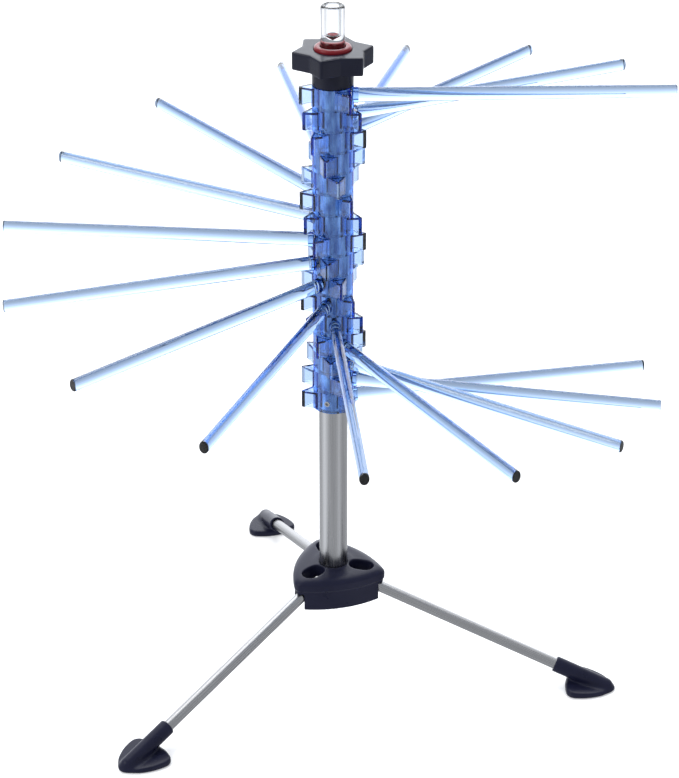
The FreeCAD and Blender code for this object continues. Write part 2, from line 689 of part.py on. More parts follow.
def hub_lobe(body, name, level, inset):
    """One third of the hub's rounded triangle."""
    return lobe(body, name, level, f"(hub_corner_reach - {inset})", f"(hub_side_reach - {inset})",
                f"(hub_corner_round - {inset})", TRIANGLE_HALF_ANGLE, True)


def hub_prism(name, inset, level, height):
    """Upright prism of the hub's rounded triangle, drawn in by an inset."""
    body = new_body(name)
    sketch = hub_lobe(body, f"{name}_outline", level, inset)
    plate = pad(body, f"{name}_pad", sketch, height)
    round_about(body, f"{name}_corners", [plate], TRIANGLE_CORNERS)
    return body


def hub_crown():
    """Top of the cap, domed on a quarter of an ellipse from its rim up to the flat crown."""
    body = new_body("hub_crown")
    rim = ("hub_corner_reach", "hub_side_reach", "hub_corner_round")
    crown = ("hub_crown_reach", f"(hub_crown_reach * {CROWN_SIDE_SHARE})",
             f"(hub_crown_reach * {CROWN_ROUND_SHARE})")
    sketches = []
    for number, turn in enumerate(DOME_TURNS):
        level = f"(hub_rim_level + (hub_crown_level - hub_rim_level) * sin({turn}))"
        sizes = [f"({start} + ({end} - {start}) * (1 - cos({turn})))" for start, end in zip(rim, crown)]
        sketches.append(lobe(body, f"hub_dome_{number}", level, *sizes, TRIANGLE_HALF_ANGLE, True))
    round_about(body, "hub_crown_corners", [loft(body, "hub_dome", sketches)], TRIANGLE_CORNERS)
    return body


def at_each_leg(name, form):
    """Copies of a form at every leg."""
    item = doc.addObject("Part::Compound", name)
    copies = []
    for number in range(int(size("leg_count"))):
        copy = doc.addObject("Part::Compound", f"{name}_{number}")
        copy.Links = [form]
        copies.append(place(copy, angle=f"360 / leg_count * {number}", axis=UPWARD))
    item.Links = copies
    return item


def crosswise(name, radius, length, reach, level):
    """Cylinder across a leg."""
    item = cylinder(name, radius, length, level, reach=reach, angle="90", axis=SIDEWAYS)
    return bind(item, Placement__Base__y=f"{length} / 2")


def leg_channel():
    """Room for a leg to lie splayed under its roof and to swing down, with its stub swinging up."""
    body = new_body("leg_channel")

    def roof(reach):
        return f"leg_apex_level - {reach} * tan(leg_slope) + {LEG_ROOM} / cos(leg_slope)"

    outside = "(hub_corner_reach + overrun)"
    below = "hub_skirt_level - overrun"
    fold = f"(leg_pivot_reach - {LEG_ROOM})"
    shelf = f"leg_apex_level - {fold} * tan(leg_slope) - {LEG_ROOM} / cos(leg_slope)"
    side = outline(body, "leg_channel_side", [
        (CHANNEL_REACH, roof(CHANNEL_REACH)),
        (outside, roof(outside)),
        (outside, below),
        (fold, below),
        (fold, shelf),
        (CHANNEL_REACH, shelf),
    ])
    width = pad(body, "leg_channel_width", side, f"2 * {LEG_ROOM}")
    width.Midplane = True
    slot = obround(body, "leg_slot", CHANNEL_REACH, "leg_slot_end_reach", LEG_ROOM, PIVOT_LEVEL)
    pad(body, "leg_slot_depth", slot, f"hub_crown_level + overrun - {PIVOT_LEVEL}")
    mouth = obround(body, "slot_mouth", "(column_radius + hub_wall)", "slot_mouth_end_reach",
                    "slot_mouth_half_width", RIM_FOOT)
    flare = pad(body, "slot_mouth_depth", mouth, f"hub_crown_level + overrun - {RIM_FOOT}")
    bind(flare, TaperAngle="slot_mouth_flare")
    return body


def build_hub():
    """Moulded hub: cap, skirt, column socket and cheeks for the leg pins."""
    skirt_height = f"({RIM_FOOT} - hub_skirt_level)"
    skirt = hub_prism("hub_skirt", "hub_rim_proud", "hub_skirt_level", skirt_height)
    rim = hub_prism("hub_rim", "0", RIM_FOOT, "hub_rim_height")
    hollow = hub_prism("hub_hollow", "(hub_rim_proud + hub_wall)", "hub_skirt_level - overrun",
                       f"{skirt_height} + overrun")
    outside = fuse("hub_outside", skirt, rim, hub_crown())
    cheek = doc.addObject("Part::Box", "hub_cheek")
    bind(cheek, Length="hub_corner_reach", Width=f"2 * {CHEEK_REACH}", Height=skirt_height,
         Placement__Base__y=f"-{CHEEK_REACH}", Placement__Base__z="hub_skirt_level")
    cheeks = doc.addObject("Part::Common", "hub_cheeks")
    cheeks.Base = skirt
    cheeks.Tool = fuse("hub_cheek_star", *at_each_leg("hub_cheek_set", cheek).Links)
    socket = cylinder("hub_socket", f"{CHANNEL_REACH} + hub_wall", skirt_height, "hub_skirt_level")
    solid = fuse("hub_solid", cut("hub_shell", outside, hollow), cheeks, socket)
    recess = cylinder("hub_recess", f"{CHANNEL_REACH} - hub_wall", "hub_boss_recess + overrun",
                      "hub_skirt_level - overrun")
    bore = cylinder("hub_bore", "column_radius + seat_clearance", "hub_crown_level", "column_seat_level")
    screw_hole = cylinder("hub_screw_hole", "column_screw_radius + seat_clearance", "column_seat_level",
                          "hub_skirt_level")
    pin_hole = crosswise("hub_pin_hole", "pin_radius + seat_clearance", f"(2 * {CHEEK_REACH})",
                         "leg_pivot_reach", PIVOT_LEVEL)
    hub = cut("hub", solid, recess, bore, screw_hole, at_each_leg("leg_channels", leg_channel()),
              at_each_leg("hub_pin_holes", pin_hole))
    copy_of("base_hub", hub, angle="leg_angle")


# Legs and feet, modelled along +X

def leg_form():
    """Leg tube from its stub in the hub to the end of its foot socket, drilled for the pin."""
    outside = slanted("leg_outside", "leg_radius", LEG_LENGTH, STUB_REACH, STUB_LEVEL)
    bore = slanted("leg_bore", "leg_radius - leg_wall", f"{LEG_LENGTH} + 2 * overrun",
                   f"{STUB_REACH} - overrun * cos(leg_slope)",
                   f"{STUB_LEVEL} + overrun * sin(leg_slope)")
    hole = crosswise("leg_pin_hole", "pin_radius + running_clearance", "(2 * (leg_radius + overrun))",
                     "leg_pivot_reach", PIVOT_LEVEL)
    return cut("leg_form", outside, bore, hole)


def raised_face(face):
    """Test for a flat face clear of the floor."""
    return isinstance(face.Surface, Part.Plane) and face.BoundBox.ZMin > size("seat_clearance")


def foot_form():
    """Three-cornered pad that thins towards its tip, with a slanted socket whose nose stands on it."""
    body = new_body("foot_pad")
    sole = lobe(body, "foot_outline", "0", "foot_corner_reach", "foot_side_reach", "foot_corner_round",
                TRIANGLE_HALF_ANGLE, True)
    round_about(body, "foot_corners", [pad(body, "foot_edge", sole, "foot_heel_height")], TRIANGLE_CORNERS)
    above = "(foot_heel_height + overrun)"
    fall = outline(body, "foot_fall_side", [
        ("-foot_corner_reach", "foot_heel_height"),
        ("foot_corner_reach", "foot_tip_height"),
        ("foot_corner_reach", above),
        ("-foot_corner_reach", above),
    ])
    pocket(body, "foot_fall", fall, "4 * foot_corner_reach").Midplane = True
    soften(body, "foot_rim", "foot_rim_round", raised_face)
    soften(body, "foot_sole", "foot_sole_round", level_face("0"))
    place(body, reach=FOOT_MIDDLE)
    nose_reach = f"(foot_tip_reach - foot_rim_round - {SOCKET_RADIUS})"
    ridge = slanted("foot_ridge", SOCKET_RADIUS, f"({nose_reach} - socket_reach) / cos(leg_slope)",
                    "socket_reach", SOCKET_LEVEL)
    nose_level = f"(leg_apex_level - {nose_reach} * tan(leg_slope))"
    nose = bind(doc.addObject("Part::Sphere", "foot_nose"), Radius=SOCKET_RADIUS)
    place(nose, nose_level, nose_reach)
    post = cylinder("foot_post", "leg_radius", f"{nose_level} + foot_corner_reach", "-foot_corner_reach",
                    reach=nose_reach)
    under = cylinder("foot_under", "foot_tip_reach", "foot_corner_reach", "-foot_corner_reach")
    bore = slanted("foot_bore", "leg_radius + seat_clearance", LEG_LENGTH, STUB_REACH, STUB_LEVEL)
    return cut("foot_form", fuse("foot_blank", body, ridge, nose, post), under, bore)


def build_legs():
    """Three legs on their pins, each with its foot."""
    leg = leg_form()
    foot = foot_form()
    pin = crosswise("leg_pin", "pin_radius", f"(2 * {CHEEK_REACH})", "leg_pivot_reach", PIVOT_LEVEL)
    for number, side in enumerate(("rear", "left", "right")):
        angle = f"leg_angle + 360 / leg_count * {number}"
        copy_of(f"leg_tube_{side}", leg, angle=angle)
        copy_of(f"foot_{side}", foot, angle=angle)
    pins = at_each_leg("leg_pin_set", pin)
    copy_of("leg_pins", pins, angle="leg_angle")


def check_document():
    """Stops on an object that failed, or a sub-part that isn't whole."""
    doc.recompute()
    for item in doc.Objects:
        faults = {"Invalid", "Error"} & set(item.State)
        if faults:
            raise RuntimeError(f"{item.Name}: {sorted(faults)}")
    for item in nodes:
        if item.Shape.isNull() or not item.Shape.isValid() or not item.Shape.Solids:
            raise RuntimeError(f"{item.Label}: no valid solid")


build_fan()
build_knob()
build_knob_fittings()
build_wand()
build_column()
build_collar_screw()
build_hub()
build_legs()
check_document()
os.makedirs("parts", exist_ok=True)
for item in nodes:
    item.Shape.exportStep(os.path.join("parts", f"{item.Label}.step"))
print(len(nodes), "sub-parts written")
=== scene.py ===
"""Looks of a pasta drying rack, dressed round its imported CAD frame.

Everything is in metres in the CAD frame: the origin lies on the table under the column, +Z runs up the
column and +Y points along the rear leg.
"""

import logging
import math
from collections.abc import Callable
from dataclasses import dataclass, replace
from enum import Enum

import bmesh
import bpy
import numpy as np
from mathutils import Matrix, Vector


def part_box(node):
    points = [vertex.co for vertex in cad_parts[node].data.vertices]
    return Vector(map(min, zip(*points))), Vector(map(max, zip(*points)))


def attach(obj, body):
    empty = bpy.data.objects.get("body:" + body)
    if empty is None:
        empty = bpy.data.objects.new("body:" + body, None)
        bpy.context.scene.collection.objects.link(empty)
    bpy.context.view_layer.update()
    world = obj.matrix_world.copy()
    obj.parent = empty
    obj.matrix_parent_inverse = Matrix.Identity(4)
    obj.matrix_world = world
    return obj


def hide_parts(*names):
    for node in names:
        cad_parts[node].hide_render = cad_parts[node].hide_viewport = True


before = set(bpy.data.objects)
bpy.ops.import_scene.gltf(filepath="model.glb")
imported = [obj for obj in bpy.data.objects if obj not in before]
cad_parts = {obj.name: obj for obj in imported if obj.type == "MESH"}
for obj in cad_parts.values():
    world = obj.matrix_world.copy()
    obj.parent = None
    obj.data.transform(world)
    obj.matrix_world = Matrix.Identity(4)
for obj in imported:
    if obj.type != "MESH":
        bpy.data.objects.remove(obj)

LOG = logging.getLogger("drying_rack")
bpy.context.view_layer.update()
MM = 0.001
PATTERN_LOW = 0.3
PATTERN_HIGH = 0.7
Colour = tuple[float, float, float]
Triple = tuple[float, float, float]


class Leg(Enum):
    """The three legs by name, with the direction of each in degrees."""

    REAR = 90.0
    LEFT = 210.0
    RIGHT = 330.0

    @property
    def label(self) -> str:
        """Name of the leg as the CAD nodes spell it."""
        return self.name.lower()


class ShaderTree:
    """Node tree of one material, built up node by node."""

    def __init__(self, name: str) -> None:
        """Starts a material with its output and a Principled shader.

        Args:
            name: Name of the material.
        """
        self.material = bpy.data.materials.new(name)
        self.material.use_nodes = True
        self.tree = self.material.node_tree
        self.tree.nodes.clear()
        self.output = self.tree.nodes.new("ShaderNodeOutputMaterial")
        self.shader = self.tree.nodes.new("ShaderNodeBsdfPrincipled")
        self.link(self.shader.outputs["BSDF"], self.output.inputs["Surface"])

    def add(self, kind: str, **inputs: float | Colour) -> bpy.types.Node:
        """Adds a node and sets its sockets.

        Args:
            kind: Blender's name for the node's type.
            inputs: Values by socket name, with an underscore for each space.

        Returns:
            The new node.
        """
        node = self.tree.nodes.new(kind)
        for name, value in inputs.items():
            node.inputs[name.replace("_", " ")].default_value = value
        return node

    def link(self, source: bpy.types.NodeSocket, target: bpy.types.NodeSocket) -> None:
        """Joins two sockets."""
        self.tree.links.new(source, target)

    def shade(self, **inputs: float | tuple[float, ...]) -> None:
        """Sets sockets of the Principled shader, with an underscore for each space."""
        for name, value in inputs.items():
            self.shader.inputs[name.replace("_", " ")].default_value = value

    def place(self, scale: Triple = (1.0, 1.0, 1.0), turn: Triple = (0.0, 0.0, 0.0)) -> bpy.types.NodeSocket:
        """Coordinates of a pattern in the object's own frame.

        Args:
            scale: How often the pattern repeats along each turned axis.
            turn: Turn of the pattern about each axis, in radians.

        Returns:
            The socket that holds the turned and scaled place.
        """
        source = self.tree.nodes.new("ShaderNodeTexCoord")
        turned = self.add("ShaderNodeMapping", Rotation=turn)
        scaled = self.add("ShaderNodeMapping", Scale=scale)
        self.link(source.outputs["Object"], turned.inputs["Vector"])
        self.link(turned.outputs["Vector"], scaled.inputs["Vector"])
        return scaled.outputs["Vector"]

    def noise(self, where: bpy.types.NodeSocket, scale: float, detail: float = 2.0) -> bpy.types.NodeSocket:
        """Cloudy pattern from 0 to 1.

        Args:
            where: Place to read it at.
            scale: How fine it is.
            detail: How many finer layers it has.

        Returns:
            The socket that holds its value.
        """
        node = self.add("ShaderNodeTexNoise", Scale=scale, Detail=detail)
        self.link(where, node.inputs["Vector"])
        return node.outputs["Fac"]

    def spread(self, value: bpy.types.NodeSocket, low: float, high: float) -> bpy.types.NodeSocket:
        """Stretches the middle of a cloudy pattern over a range.

        Args:
            value: The pattern.
            low: Result where the pattern is low.
            high: Result where the pattern is high.

        Returns:
            The socket that holds the result.
        """
        ends = {"From_Min": PATTERN_LOW, "From_Max": PATTERN_HIGH, "To_Min": low, "To_Max": high}
        node = self.add("ShaderNodeMapRange", **ends)
        self.link(value, node.inputs["Value"])
        return node.outputs["Result"]

    def tone(self, value: bpy.types.NodeSocket, low: Colour, high: Colour) -> bpy.types.NodeSocket:
        """Colour between two tones.

        Args:
            value: Pattern from 0 to 1.
            low: Tone where the pattern is low.
            high: Tone where the pattern is high.

        Returns:
            The socket that holds the colour.
        """
        node = self.tree.nodes.new("ShaderNodeValToRGB")
        node.color_ramp.elements[0].position = PATTERN_LOW
        node.color_ramp.elements[0].color = (*low, 1.0)
        node.color_ramp.elements[1].position = PATTERN_HIGH
        node.color_ramp.elements[1].color = (*high, 1.0)
        self.link(value, node.inputs["Fac"])
        return node.outputs["Color"]

    def above(self, level: float, blur: float) -> bpy.types.NodeSocket:
        """Share that grows from 0 to 1 where the object's Z passes a level.

        Args:
            level: Height of the change in metres.
            blur: Height over which it comes about.

        Returns:
            The socket that holds the share.
        """
        axes = self.tree.nodes.new("ShaderNodeSeparateXYZ")
        self.link(self.place(), axes.inputs["Vector"])
        node = self.add("ShaderNodeMapRange", From_Min=level, From_Max=level + blur)
        self.link(axes.outputs["Z"], node.inputs["Value"])
        return node.outputs["Result"]

    def mixed(
        self, share: bpy.types.NodeSocket, low: bpy.types.NodeSocket, high: bpy.types.NodeSocket
    ) -> bpy.types.NodeSocket:
        """Passes from one colour to another.

        Args:
            share: Share of the second colour, from 0 to 1.
            low: First colour.
            high: Second colour.

        Returns:
            The socket that holds the colour.
        """
        node = self.tree.nodes.new("ShaderNodeMix")
        node.data_type = "RGBA"
        self.link(share, node.inputs["Factor"])
        colours = [socket for socket in node.inputs if socket.type == "RGBA"]
        self.link(low, colours[0])
        self.link(high, colours[1])
        return next(socket for socket in node.outputs if socket.type == "RGBA")

    def relief(self, height: bpy.types.NodeSocket, depth: float, strength: float) -> None:
        """Raises the shader's surface by a pattern.

        Args:
            height: Pattern from 0 to 1.
            depth: Height of the pattern in metres.
            strength: Share of the relief that shows.
        """
        node = self.add("ShaderNodeBump", Strength=strength, Distance=depth)
        self.link(height, node.inputs["Height"])
        self.link(node.outputs["Normal"], self.shader.inputs["Normal"])


@dataclass(frozen=True)
class ClearPlastic:
    """Clear moulded plastic whose tint deepens with its thickness."""

    name: str
    slot: str
    surface: Colour
    tint: Colour
    density: float
    roughness: tuple[float, float] = (0.01, 0.04)
    index: float = 1.49
    flow_scale: float = 60.0
    flow_detail: float = 3.0
    flow_depth: float = 0.1 * MM
    flow_strength: float = 0.05

    def material(self) -> bpy.types.Material:
        """Makes the material.

        Returns:
            Glass-like shader with faint flow marks and an absorbing inside.
        """
        tree = ShaderTree(self.name)
        tree.shade(Base_Color=(*self.surface, 1.0), Transmission_Weight=1.0, IOR=self.index)
        flow = tree.noise(tree.place(), self.flow_scale, self.flow_detail)
        tree.link(tree.spread(flow, *self.roughness), tree.shader.inputs["Roughness"])
        tree.relief(flow, self.flow_depth, self.flow_strength)
        inside = tree.add("ShaderNodeVolumeAbsorption", Color=(*self.tint, 1.0), Density=self.density)
        tree.link(inside.outputs["Volume"], tree.output.inputs["Volume"])
        return tree.material


@dataclass(frozen=True)
class MouldedPlastic:
    """Opaque satin plastic with a fine spark-eroded grain."""

    name: str
    slot: str
    low: Colour
    high: Colour
    roughness: tuple[float, float] = (0.34, 0.48)
    grain_scale: float = 2400.0
    grain_depth: float = 0.06 * MM
    grain_strength: float = 0.35
    cloud_scale: float = 45.0
    cloud_detail: float = 4.0
    shine: float = 0.5
    coat: float = 0.0
    coat_roughness: float = 0.12

    def material(self) -> bpy.types.Material:
        """Makes the material.

        Returns:
            Satin shader with clouded tone, uneven gloss and grain.
        """
        tree = ShaderTree(self.name)
        tree.shade(Specular_IOR_Level=self.shine, Coat_Weight=self.coat, Coat_Roughness=self.coat_roughness)
        where = tree.place()
        cloud = tree.noise(where, self.cloud_scale, self.cloud_detail)
        tree.link(tree.tone(cloud, self.low, self.high), tree.shader.inputs["Base Color"])
        tree.link(tree.spread(cloud, *self.roughness), tree.shader.inputs["Roughness"])
        tree.relief(tree.noise(where, self.grain_scale), self.grain_depth, self.grain_strength)
        return tree.material


@dataclass(frozen=True)
class DrawnMetal:
    """Metal with fine lines along the way it was drawn."""

    name: str
    slot: str
    low: Colour
    high: Colour
    roughness: tuple[float, float] = (0.26, 0.38)
    line_scale: float = 1500.0
    line_stretch: float = 0.012
    line_detail: float = 3.0
    line_depth: float = 0.02 * MM
    line_strength: float = 0.25
    turn: Triple = (0.0, 0.0, 0.0)
    edge: Colour = (1.0, 1.0, 1.0)
    # Painted reflection: from this level up, the base colour carries light bands and blue-dark bands that
    # stand in for reflections of the blue plastic and the room. It is partly a real brighter polish.
    polish_and_painted_reflection_from: float | None = None
    polish_and_painted_reflection_blur: float = 1.0 * MM
    painted_blue_reflection: Colour = (0.24, 0.32, 0.50)
    polish_and_painted_highlight: Colour = (0.92, 1.0, 1.0)
    painted_reflection_band_scale: float = 330.0
    painted_reflection_band_stretch: float = 0.25

    def material(self) -> bpy.types.Material:
        """Makes the material.

        Returns:
            Metal shader whose tone, gloss and relief run in lines along the turned Z axis. If a level is
            given, the metal above it is polished brighter, and its colour carries painted reflection bands,
            light and blue-dark, that stand in for the surroundings it would reflect.
        """
        tree = ShaderTree(self.name)
        tree.shade(Metallic=1.0, Specular_Tint=(*self.edge, 1.0))
        where = tree.place((1.0, 1.0, self.line_stretch), self.turn)
        lines = tree.noise(where, self.line_scale, self.line_detail)
        tone = tree.tone(lines, self.low, self.high)
        # Above the level, the colour mixes into painted reflection bands: blue-dark and light streaks over a
        # brighter polish.
        if self.polish_and_painted_reflection_from is not None:
            share = tree.above(self.polish_and_painted_reflection_from, self.polish_and_painted_reflection_blur)
            painted_reflection_bands = tree.noise(tree.place((1.0, 1.0, self.painted_reflection_band_stretch)), self.painted_reflection_band_scale)
            tone = tree.mixed(share, tone, tree.tone(painted_reflection_bands, self.painted_blue_reflection, self.polish_and_painted_highlight))
        tree.link(tone, tree.shader.inputs["Base Color"])
        tree.link(tree.spread(lines, *self.roughness), tree.shader.inputs["Roughness"])
        tree.relief(lines, self.line_depth, self.line_strength)
        return tree.material


@dataclass
class Surface:
    """Skin of a solid: a grid of points, closed round its columns and running from pole to pole."""

    name: str
    points: np.ndarray
    sharp_angle: float = 35.0
    merge: float = 0.0002 * MM

    def build(self) -> bpy.types.Object:
        """Puts the grid into a mesh, with quads between neighbouring rows and columns.

        Points closer than the merge distance become one, and edges that turn by more than the sharp angle, in
        degrees, stay crisp.

        Returns:
            The new object, at the origin.
        """
        rows, columns, _axes = self.points.shape
        number = np.arange(rows * columns).reshape(rows, columns)
        beside = np.roll(number, -1, axis=1)
        faces = np.stack([number[:-1], beside[:-1], beside[1:], number[1:]], axis=-1).reshape(-1, 4)
        mesh = bpy.data.meshes.new(self.name)
        mesh.from_pydata(self.points.reshape(-1, 3).tolist(), [], faces.tolist())
        skin = bmesh.new()
        skin.from_mesh(mesh)
        bmesh.ops.remove_doubles(skin, verts=skin.verts, dist=self.merge)
        bmesh.ops.recalc_face_normals(skin, faces=skin.faces)
        skin.to_mesh(mesh)
        skin.free()
        mesh.shade_smooth()
        mesh.set_sharp_from_angle(angle=math.radians(self.sharp_angle))
        piece = bpy.data.objects.new(self.name, mesh)
        bpy.context.scene.collection.objects.link(piece)
        return piece


def arc(centre: tuple[float, float], radius: float, start: float, end: float, steps: int = 9) -> np.ndarray:
    """Points along an arc of a profile.

    Each point is the centre plus the radius times (cos a, sin a), with a running evenly from start to end.

    Args:
        centre: Distance from the axis and height of the arc's centre.
        radius: Radius of the arc.
        start: First angle in degrees.
        end: Last angle in degrees.
        steps: Number of points.

    Returns:
        Array of points, one row each.
    """
    angles = np.radians(np.linspace(start, end, steps))
    return np.asarray(centre) + radius * np.stack([np.cos(angles), np.sin(angles)], axis=-1)


def turned(profile: np.ndarray, segments: int) -> np.ndarray:
    """Carries a profile round the Z axis.

    A profile point (r, z) becomes (r cos t, r sin t, z) for t running once round.

    Args:
        profile: Distances from the axis and heights, one row each.
        segments: Number of steps round the axis.

    Returns:
        Grid of points, profile by turn.
    """
    angles = np.linspace(0.0, 2.0 * np.pi, segments, endpoint=False)
    radius = profile[:, :1]
    height = np.broadcast_to(profile[:, 1:], (len(profile), segments))
    return np.stack([radius * np.cos(angles), radius * np.sin(angles), height], axis=-1)


def turn_about_column(points: np.ndarray, degrees: float) -> np.ndarray:
    """Turns points about the Z axis."""
    angle = math.radians(degrees)
    matrix = np.array([
        [math.cos(angle), math.sin(angle), 0.0],
        [-math.sin(angle), math.cos(angle), 0.0],
        [0.0, 0.0, 1.0],
    ])
    return points @ matrix


def points_of(mesh: bpy.types.Mesh) -> np.ndarray:
    """Points of a mesh, one row each."""
    points = np.empty(3 * len(mesh.vertices))
    mesh.vertices.foreach_get("co", points)
    return points.reshape(-1, 3)


def even_skin(node: str, name: str, spacing: float, merge: float = 0.002 * MM) -> bpy.types.Object:
    """Copies a CAD node's skin on to an even mesh, whose points can then be eased.

    Args:
        node: CAD node to copy.
        name: Name of the new piece.
        spacing: Distance between neighbouring points.
        merge: Points of the node that lie closer than this become one.

    Returns:
        The new object, at the origin.
    """
    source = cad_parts[node]
    mesh = source.data.copy()
    mesh.transform(source.matrix_world)
    mesh.materials.clear()
    skin = bmesh.new()
    skin.from_mesh(mesh)
    bmesh.ops.remove_doubles(skin, verts=skin.verts, dist=merge)
    skin.to_mesh(mesh)
    skin.free()
    piece = bpy.data.objects.new(name, mesh)
    bpy.context.scene.collection.objects.link(piece)
    remesh = piece.modifiers.new("even", "REMESH")
    remesh.mode = "VOXEL"
    remesh.voxel_size = spacing
    even = bpy.data.meshes.new_from_object(piece.evaluated_get(bpy.context.evaluated_depsgraph_get()))
    piece.modifiers.clear()
    piece.data = even
    bpy.data.meshes.remove(mesh)
    even.name = name
    even.shade_smooth()
    return piece


def ease(piece: bpy.types.Object, rounds: int, share: Callable[[np.ndarray], np.ndarray]) -> None:
    """Draws each point of an even mesh towards the middle of its neighbours, round after round.

    In each round p becomes p + s (m - p) / 2, where m is the mean of the neighbours and s the point's share.

    Args:
        piece: Piece to ease.
        rounds: Number of rounds.
        share: Gives each point's share, from 0 where it stays to 1 where it moves freely.
    """
    mesh = piece.data
    points = points_of(mesh)
    pairs = np.empty(2 * len(mesh.edges), dtype=np.int32)
    mesh.edges.foreach_get("vertices", pairs)
    first, second = pairs.reshape(-1, 2).T
    degree = np.bincount(pairs, minlength=len(points))[:, None]
    weight = share(points)[:, None] / 2.0
    for _round in range(rounds):
        total = np.zeros_like(points)
        np.add.at(total, first, points[second])
        np.add.at(total, second, points[first])
        points = points + weight * (total / degree - points)
    mesh.vertices.foreach_set("co", points.ravel())
    mesh.update()


def everywhere(points: np.ndarray) -> np.ndarray:
    """Share of one for every point."""
    return np.ones(len(points))


def dress_node(node: str, material: bpy.types.Material) -> None:
    """Gives a CAD node its material."""
    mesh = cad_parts[node].data
    mesh.materials.clear()
    mesh.materials.append(material)
    LOG.info("dressed %s in %s", node, material.name)


def stand_for(piece: bpy.types.Object, node: str, body: str, material: bpy.types.Material) -> None:
    """Puts a new piece in a CAD node's place.

    Args:
        piece: The new piece.
        node: CAD node that it stands for.
        body: CAD body that carries it.
        material: The piece's finish.
    """
    piece.data.materials.append(material)
    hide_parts(node)
    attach(piece, body)
    LOG.info("made %s for %s", piece.name, node)


ROD_PLASTIC = ClearPlastic(
    "clear_pale_blue", "clear_blue_rod", surface=(0.98, 0.99, 1.0), tint=(0.05, 0.34, 0.68), density=122.0
)
COLLAR_PLASTIC = ClearPlastic(
    "clear_deep_blue", "clear_blue_collar", surface=(0.97, 0.985, 1.0), tint=(0.05, 0.42, 0.86), density=215.0
)
WAND_PLASTIC = ClearPlastic(
    "clear_colourless", "clear_plastic", surface=(0.98, 0.99, 1.0), tint=(0.85, 0.92, 0.95), density=3.0
)
NAVY_PLASTIC = MouldedPlastic(
    "navy_satin",
    "navy_plastic",
    low=(0.008, 0.009, 0.024),
    high=(0.012, 0.013, 0.032),
    roughness=(0.26, 0.36),
    shine=0.14,
)
BLACK_PLASTIC = MouldedPlastic(
    "black_satin",
    "black_plastic",
    low=(0.007, 0.008, 0.017),
    high=(0.011, 0.012, 0.024),
    roughness=(0.14, 0.22),
    shine=0.15,
)
RED_PLASTIC = MouldedPlastic(
    "red_gloss",
    "red_plastic",
    low=(0.16, 0.005, 0.010),
    high=(0.23, 0.010, 0.017),
    roughness=(0.16, 0.26),
    shine=0.2,
    coat=0.06,
)
WASHER_PLASTIC = MouldedPlastic(
    "natural_acetal", "washer_plastic", low=(0.66, 0.66, 0.62), high=(0.76, 0.76, 0.72)
)
ALUMINIUM = DrawnMetal(
    "satin_aluminium",
    "satin_aluminium",
    low=(0.36, 0.36, 0.365),
    high=(0.43, 0.43, 0.435),
    roughness=(0.20, 0.30),
)
LEG_ALUMINIUM = replace(
    ALUMINIUM,
    low=(0.33, 0.33, 0.335),
    high=(0.38, 0.38, 0.385),
    edge=(0.8, 0.8, 0.8),
    line_scale=2600.0,
    line_depth=0.005 * MM,
)
STEEL = DrawnMetal("plain_steel", "steel", low=(0.40, 0.40, 0.41), high=(0.52, 0.52, 0.53), line_stretch=1.0)


@dataclass
class Fan:
    """Sixteen clear rods in their clear collars."""

    count: int = 16
    reach: float = 225 * MM
    seat: float = 16.6 * MM
    seat_gap: float = 0.05 * MM
    spigot_length: float = 4.8 * MM
    spigot: tuple[float, float] = (3.6 * MM, 5.4 * MM)
    root: tuple[float, float] = (7.4 * MM, 9.9 * MM)
    tip: tuple[float, float] = (6.4 * MM, 8.5 * MM)
    tip_round: float = 0.9 * MM
    tip_steps: int = 7
    shaft_steps: int = 25
    segments: int = 64

    def rod_grid(self) -> np.ndarray:
        """Surface of a rod along +X.

        At each station x the section is an oval: (x, w/2 cos t, h/2 sin t), with width w and height h that
        taper evenly from root to tip and then follow a quarter round into the end face.

        Returns:
            Grid of points, station by turn.
        """
        seat = self.seat + self.seat_gap
        bend = np.radians(np.linspace(0.0, 90.0, self.tip_steps))
        round_x = self.reach - self.tip_round + self.tip_round * np.sin(bend)
        inset = 2.0 * self.tip_round * (1.0 - np.cos(bend))
        shaft_x = np.linspace(seat, self.reach - self.tip_round, self.shaft_steps)[:-1]
        share = (shaft_x - seat) / (self.reach - self.tip_round - seat)
        stations = [(seat - self.spigot_length, 0.0, 0.0)]
        stations += [(seat - self.spigot_length, *self.spigot), (seat, *self.spigot)]
        shaft = [shaft_x] + [a + (b - a) * share for a, b in zip(self.root, self.tip)]
        end = [round_x] + [size - inset for size in self.tip]
        last = [(self.reach, 0.0, 0.0)]
        table = np.vstack([stations, np.stack(shaft, axis=-1), np.stack(end, axis=-1), last])
        angles = np.linspace(0.0, 2.0 * np.pi, self.segments, endpoint=False)
        x, width, height = np.split(table, 3, axis=1)
        x = np.broadcast_to(x, (len(table), self.segments))
        return np.stack([x, width / 2 * np.cos(angles), height / 2 * np.sin(angles)], axis=-1)

    def direction(self, node: str) -> float:
        """Direction of a rod, read from the middle of its CAD node's end face.

        Args:
            node: CAD node of the rod.

        Returns:
            Angle about the column in degrees.
        """
        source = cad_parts[node]
        matrix = np.array(source.matrix_world)
        points = points_of(source.data) @ matrix[:3, :3].T + matrix[:3, 3]
        reach = np.hypot(points[:, 0], points[:, 1])
        middle = points[reach > reach.max() - self.tip_round / 2].mean(axis=0)
        return math.degrees(math.atan2(middle[1], middle[0]))

    def body(self, number: int) -> str:
        """CAD body that carries a collar; the bottom one is fixed to the stand."""
        return "stand" if number == self.count else f"fan_{number:02d}"

    def build(self) -> None:
        """Makes the rods and dresses the collars."""
        rod_material = ROD_PLASTIC.material()
        collar_material = COLLAR_PLASTIC.material()
        grid = self.rod_grid()
        for number in range(1, self.count + 1):
            node = f"rod_{number:02d}"
            low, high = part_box(node)
            placed = turn_about_column(grid, self.direction(node))
            placed = placed + np.array([0.0, 0.0, (low.z + high.z) / 2])
            piece = Surface(f"clear_rod_{number:02d}", placed).build()
            stand_for(piece, node, self.body(number), rod_material)
            dress_node(f"collar_{number:02d}", collar_material)


